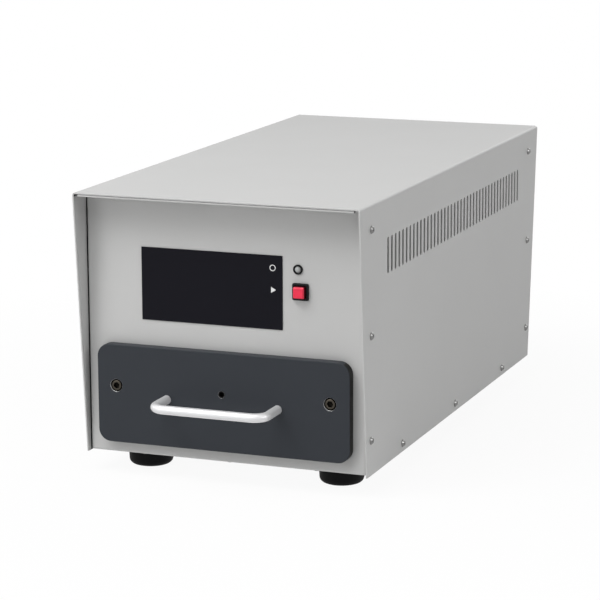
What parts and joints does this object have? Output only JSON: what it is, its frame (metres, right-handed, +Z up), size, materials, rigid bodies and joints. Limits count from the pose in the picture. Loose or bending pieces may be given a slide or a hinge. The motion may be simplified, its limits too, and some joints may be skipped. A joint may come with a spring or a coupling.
{
  "type": "hard drive degausser",
  "caption": "Bench hard-drive degausser: slotted sheet-metal case with a hooded front, start button and lamp, and a hand-pulled drawer on guide rods that carries a drive into a pulse coil.",
  "frame": {"origin": "bottom centre of the whole machine's box, on the surface that the feet stand on, drawer shut", "axes": "+X to the right of a person facing the drawer, +Y from the drawer to the back, +Z up"},
  "size_m": [0.2848, 0.5995, 0.27],
  "materials": {
    "case_paint": "light grey fine-texture powder coat",
    "pan_zinc": "bright zinc plated sheet",
    "screw_zinc": "bright zinc plated",
    "cap_screw_black": "black oxide",
    "foot_rubber": "matt black",
    "drawer_paint": "charcoal fine-texture powder coat over aluminium plate",
    "handle_metal": "bright satin",
    "rod_steel": "ground and hard chromed",
    "collar_steel": "turned",
    "tray_plastic": "black machined plastic",
    "pad_foam": "dark grey foam",
    "former_plastic": "glass laminate",
    "copper": "enamelled copper",
    "block_aluminium": "milled",
    "bush_bronze": "sintered bronze",
    "core_steel": "varnished laminations",
    "thyristor_case": "plated",
    "board_green": "solder mask",
    "board_part_black": "moulded",
    "can_sleeve": "dark blue sleeve",
    "legend_black": "satin black overlay, bare",
    "control_black": "moulded black",
    "lamp_lens": "clear, unlit",
    "button_red": "translucent red",
    "guard_steel": "bright plated"
  },
  "bodies": {
    "chassis": {"cover": "case_paint", "front_panel": "case_paint", "rear_panel": "case_paint", "base_pan": "pan_zinc", "capacitor_bracket": "pan_zinc", "cover_screws_left": "screw_zinc", "cover_screws_right": "screw_zinc", "pan_screws": "screw_zinc", "foot_screws": "screw_zinc", "coil_screws": "screw_zinc", "block_screws": "screw_zinc", "fan_screws": "screw_zinc", "inlet_screws": "screw_zinc", "feet": "foot_rubber", "board_standoffs": "collar_steel", "coil_former": "former_plastic", "coil_winding": "copper", "transformer_winding": "copper", "bus_bars": "copper", "bearing_blocks": "block_aluminium", "component_deck": "block_aluminium", "heatsink": "block_aluminium", "bleeder_resistors": "block_aluminium", "rod_bushes": "bush_bronze", "capacitor_terminals": "bush_bronze", "transformer_core": "core_steel", "thyristor": "thyristor_case", "control_board": "board_green", "board_parts": "board_part_black", "capacitors": "can_sleeve", "legend_plate": "legend_black", "lamp_bezel": "control_black", "button_bezel": "control_black", "button_nut": "control_black", "fan_housing": "control_black", "power_inlet": "control_black", "rocker_frame": "control_black", "ready_lamp": "lamp_lens", "fan_guard": "guard_steel", "inlet_pins": "guard_steel"},
    "drawer": {"drawer_front": "drawer_paint", "drawer_cap_screws": "cap_screw_black", "drawer_handle": "handle_metal", "handle_screws": "screw_zinc", "guide_rods": "rod_steel", "rod_collars": "collar_steel", "media_tray": "tray_plastic", "tray_pad": "pad_foam", "tray_screws": "screw_zinc"},
    "start_button": {"start_button": "button_red"},
    "power_rocker": {"power_rocker": "control_black"},
    "fan_rotor": {"fan_rotor": "control_black"}
  },
  "joints": [
    {"name": "drawer_slide", "type": "slide", "parent": "chassis", "child": "drawer", "axis": [0, -1, 0], "range_m": [0, 0.18]},
    {"name": "button_press", "type": "slide", "parent": "chassis", "child": "start_button", "axis": [0, 1, 0], "range_m": [0, 0.002], "stiffness_N_per_m": 300, "springref_m": -0.001},
    {"name": "rocker_tilt", "type": "hinge", "parent": "chassis", "child": "power_rocker", "pos_m": [0.0832, 0.27077, 0.116], "axis": [1, 0, 0], "range_deg": [0, 20]},
    {"name": "fan_spin", "type": "hinge", "parent": "chassis", "child": "fan_rotor", "pos_m": [0, 0.25477, 0.185], "axis": [0, 1, 0], "continuous": true}
  ]
}
